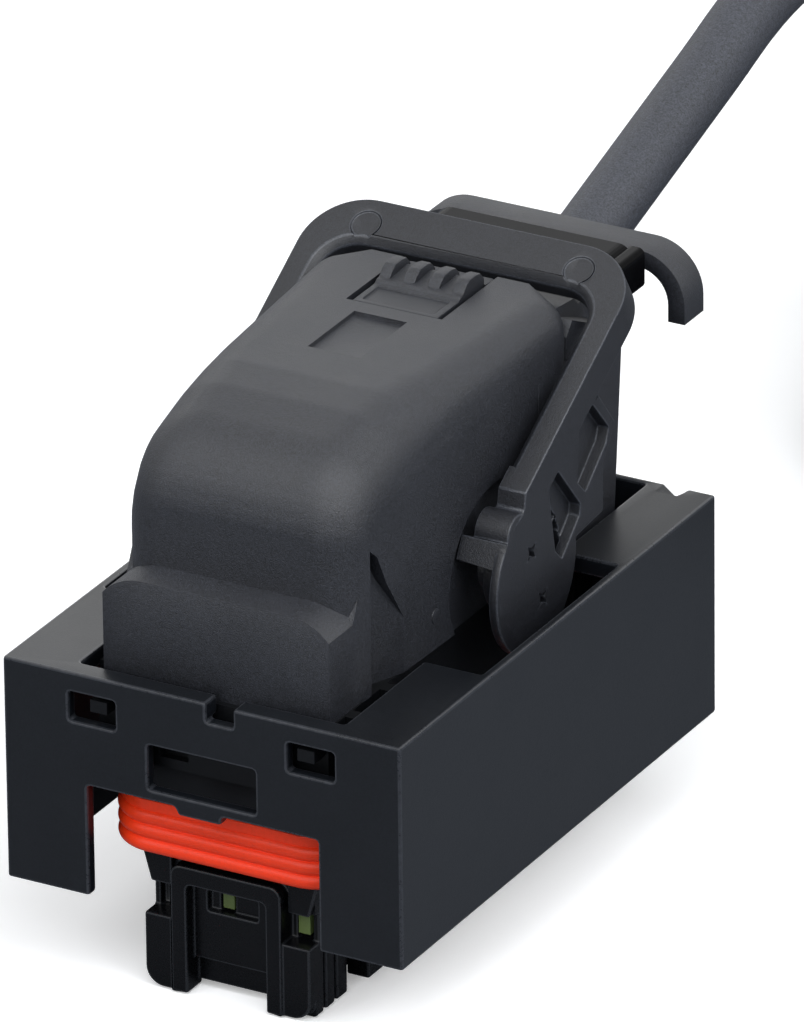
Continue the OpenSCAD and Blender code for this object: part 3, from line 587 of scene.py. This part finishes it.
def refine(mesh, skin):
    """Splits the body into triangles small enough to follow the even form."""
    for _ in range(PASSES):
        bmesh.ops.triangulate(mesh, faces=body_faces(mesh, skin))
        body = set(body_faces(mesh, skin))
        long = [e for e in mesh.edges if e.calc_length() > FINEST * MM and not body.isdisjoint(e.link_faces)]
        if not long:
            break
        bmesh.ops.subdivide_edges(mesh, edges=long, cuts=1)
    bmesh.ops.triangulate(mesh, faces=body_faces(mesh, skin))


def make_cover():
    """The wire cover with its faceted nose and roof drawn out to even curves."""
    model, even = Skin(MODEL_BALLS, POST_R_MODEL), Skin(EVEN_BALLS, POST_R_EVEN)
    mesh = clean_mesh("wire_cover")
    round_edges(mesh, "wire_cover")
    refine(mesh, model)
    body_verts = {v for f in body_faces(mesh, model) for v in f.verts if model.nearest(v.co)[2] < TOUCH}
    for vert in body_verts:
        share = eased(min(max((vert.co.z / MM - FOOT_TOP) / FOOT_BLEND, 0), 1))
        vert.co = vert.co.lerp(even.nearest(vert.co)[0], share)
    mesh.normal_update()
    mark_sharp(mesh)
    mesh.verts.index_update()
    turns = {v.index: even.nearest(v.co)[1] for v in body_verts}
    piece = moulded_piece("wire_cover", mesh)
    normals = [c.vector.copy() for c in piece.data.corner_normals]
    for polygon in piece.data.polygons:
        for corner in polygon.loop_indices:
            turn = turns.get(piece.data.loops[corner].vertex_index)
            if turn and turn.dot(polygon.normal) > SHADE_WAY:
                normals[corner] = turn
    piece.data.normals_split_custom_set(normals)


make_cover()
for name in EDGE:
    if name != "wire_cover":
        softened(name)

for name, node in NODES.items():
    if name not in ("cable", "cable_coil", "cable_tail"):
        dress(node, SLOT_OF[name])

# ---------------------------------------------------------------- floor and light


WHITE = (1, 1, 1, 1)
FLOOR_SIZE, FLOOR_DROP = 6, 0.0002
# What the floor throws back on the object; the camera sees it white
FLOOR_COLOUR = (0.27, 0.29, 0.33, 1)
# The floor's glow as the camera sees it, the distance past which it grows, and by how much at most
GLOW, GLOW_FROM, GLOW_GAIN = 0.3, 0.3, 0.8
# Strength of the white world as it lights the object
WORLD_FILL = 0.12
LAMP_COLOUR = (0.955, 0.975, 1.0)
LAMP_AIM = Vector((0, 0, 0.03))


def make_floor():
    bpy.ops.mesh.primitive_plane_add(size=FLOOR_SIZE, location=(0, 0, -FLOOR_DROP))
    floor = bpy.context.object
    floor.name = "floor"
    material = bpy.data.materials.new("floor_paper")
    material.use_nodes = True
    tree = material.node_tree
    shader = tree.nodes["Principled BSDF"]
    shader.inputs["Roughness"].default_value = 0.9
    shader.inputs["Specular IOR Level"].default_value = 0.1
    path = tree.nodes.new("ShaderNodeLightPath")
    mix = tree.nodes.new("ShaderNodeMix")
    mix.data_type = "RGBA"
    mix.inputs["A"].default_value = FLOOR_COLOUR
    mix.inputs["B"].default_value = WHITE
    seen = math_node(tree, "MAXIMUM", path.outputs["Is Camera Ray"], path.outputs["Is Transmission Ray"])
    join(tree, [(seen, mix.inputs["Factor"]), (mix.outputs["Result"], shader.inputs["Base Color"])])
    shader.inputs["Emission Color"].default_value = WHITE
    place = tree.nodes.new("ShaderNodeTexCoord").outputs["Object"]
    away = tree.nodes.new("ShaderNodeVectorMath")
    away.operation = "LENGTH"
    tree.links.new(place, away.inputs[0])
    gain = math_node(tree, "SUBTRACT", away.outputs["Value"], GLOW_FROM)
    gain = math_node(tree, "MAXIMUM", gain, 0)
    gain = math_node(tree, "MINIMUM", gain, GLOW_GAIN)
    glow = times(tree, path.outputs["Is Camera Ray"], plus(tree, gain, GLOW))
    tree.links.new(glow, shader.inputs["Emission Strength"])
    floor.data.materials.append(material)


def make_world():
    world = bpy.data.worlds.new("studio")
    bpy.context.scene.world = world
    world.use_nodes = True
    tree = world.node_tree
    sky = tree.nodes["Background"]
    path = tree.nodes.new("ShaderNodeLightPath")
    seen = math_node(tree, "MAXIMUM", path.outputs["Is Camera Ray"], path.outputs["Is Transmission Ray"])
    seen = math_node(tree, "MAXIMUM", seen, path.outputs["Is Glossy Ray"])
    power = plus(tree, times(tree, seen, 1 - WORLD_FILL), WORLD_FILL)
    tree.links.new(power, sky.inputs["Strength"])
    sky.inputs["Color"].default_value = WHITE


def soft_box(name, azimuth, elevation, distance, size, watts):
    """A soft box; azimuth is the side it stands on, counted as the camera's is."""
    data = bpy.data.lights.new(name, "AREA")
    data.shape = "RECTANGLE"
    data.size, data.size_y = size
    data.energy = watts
    data.color = LAMP_COLOUR
    lamp = new_object(name, data)
    lamp.matrix_world = looking_at(LAMP_AIM, azimuth, elevation, distance)


make_floor()
make_world()
soft_box("front", -5, 42, 1.0, (1.2, 1.0), 9.2)
soft_box("key", 80, 35, 0.9, (0.6, 0.5), 4)
soft_box("top_back", 209, 26, 0.9, (1.1, 0.45), 1.2)
soft_box("shoulder", 64, 60, 0.9, (0.6, 0.6), 3.5)

bpy.context.scene.view_settings.view_transform = "Standard"
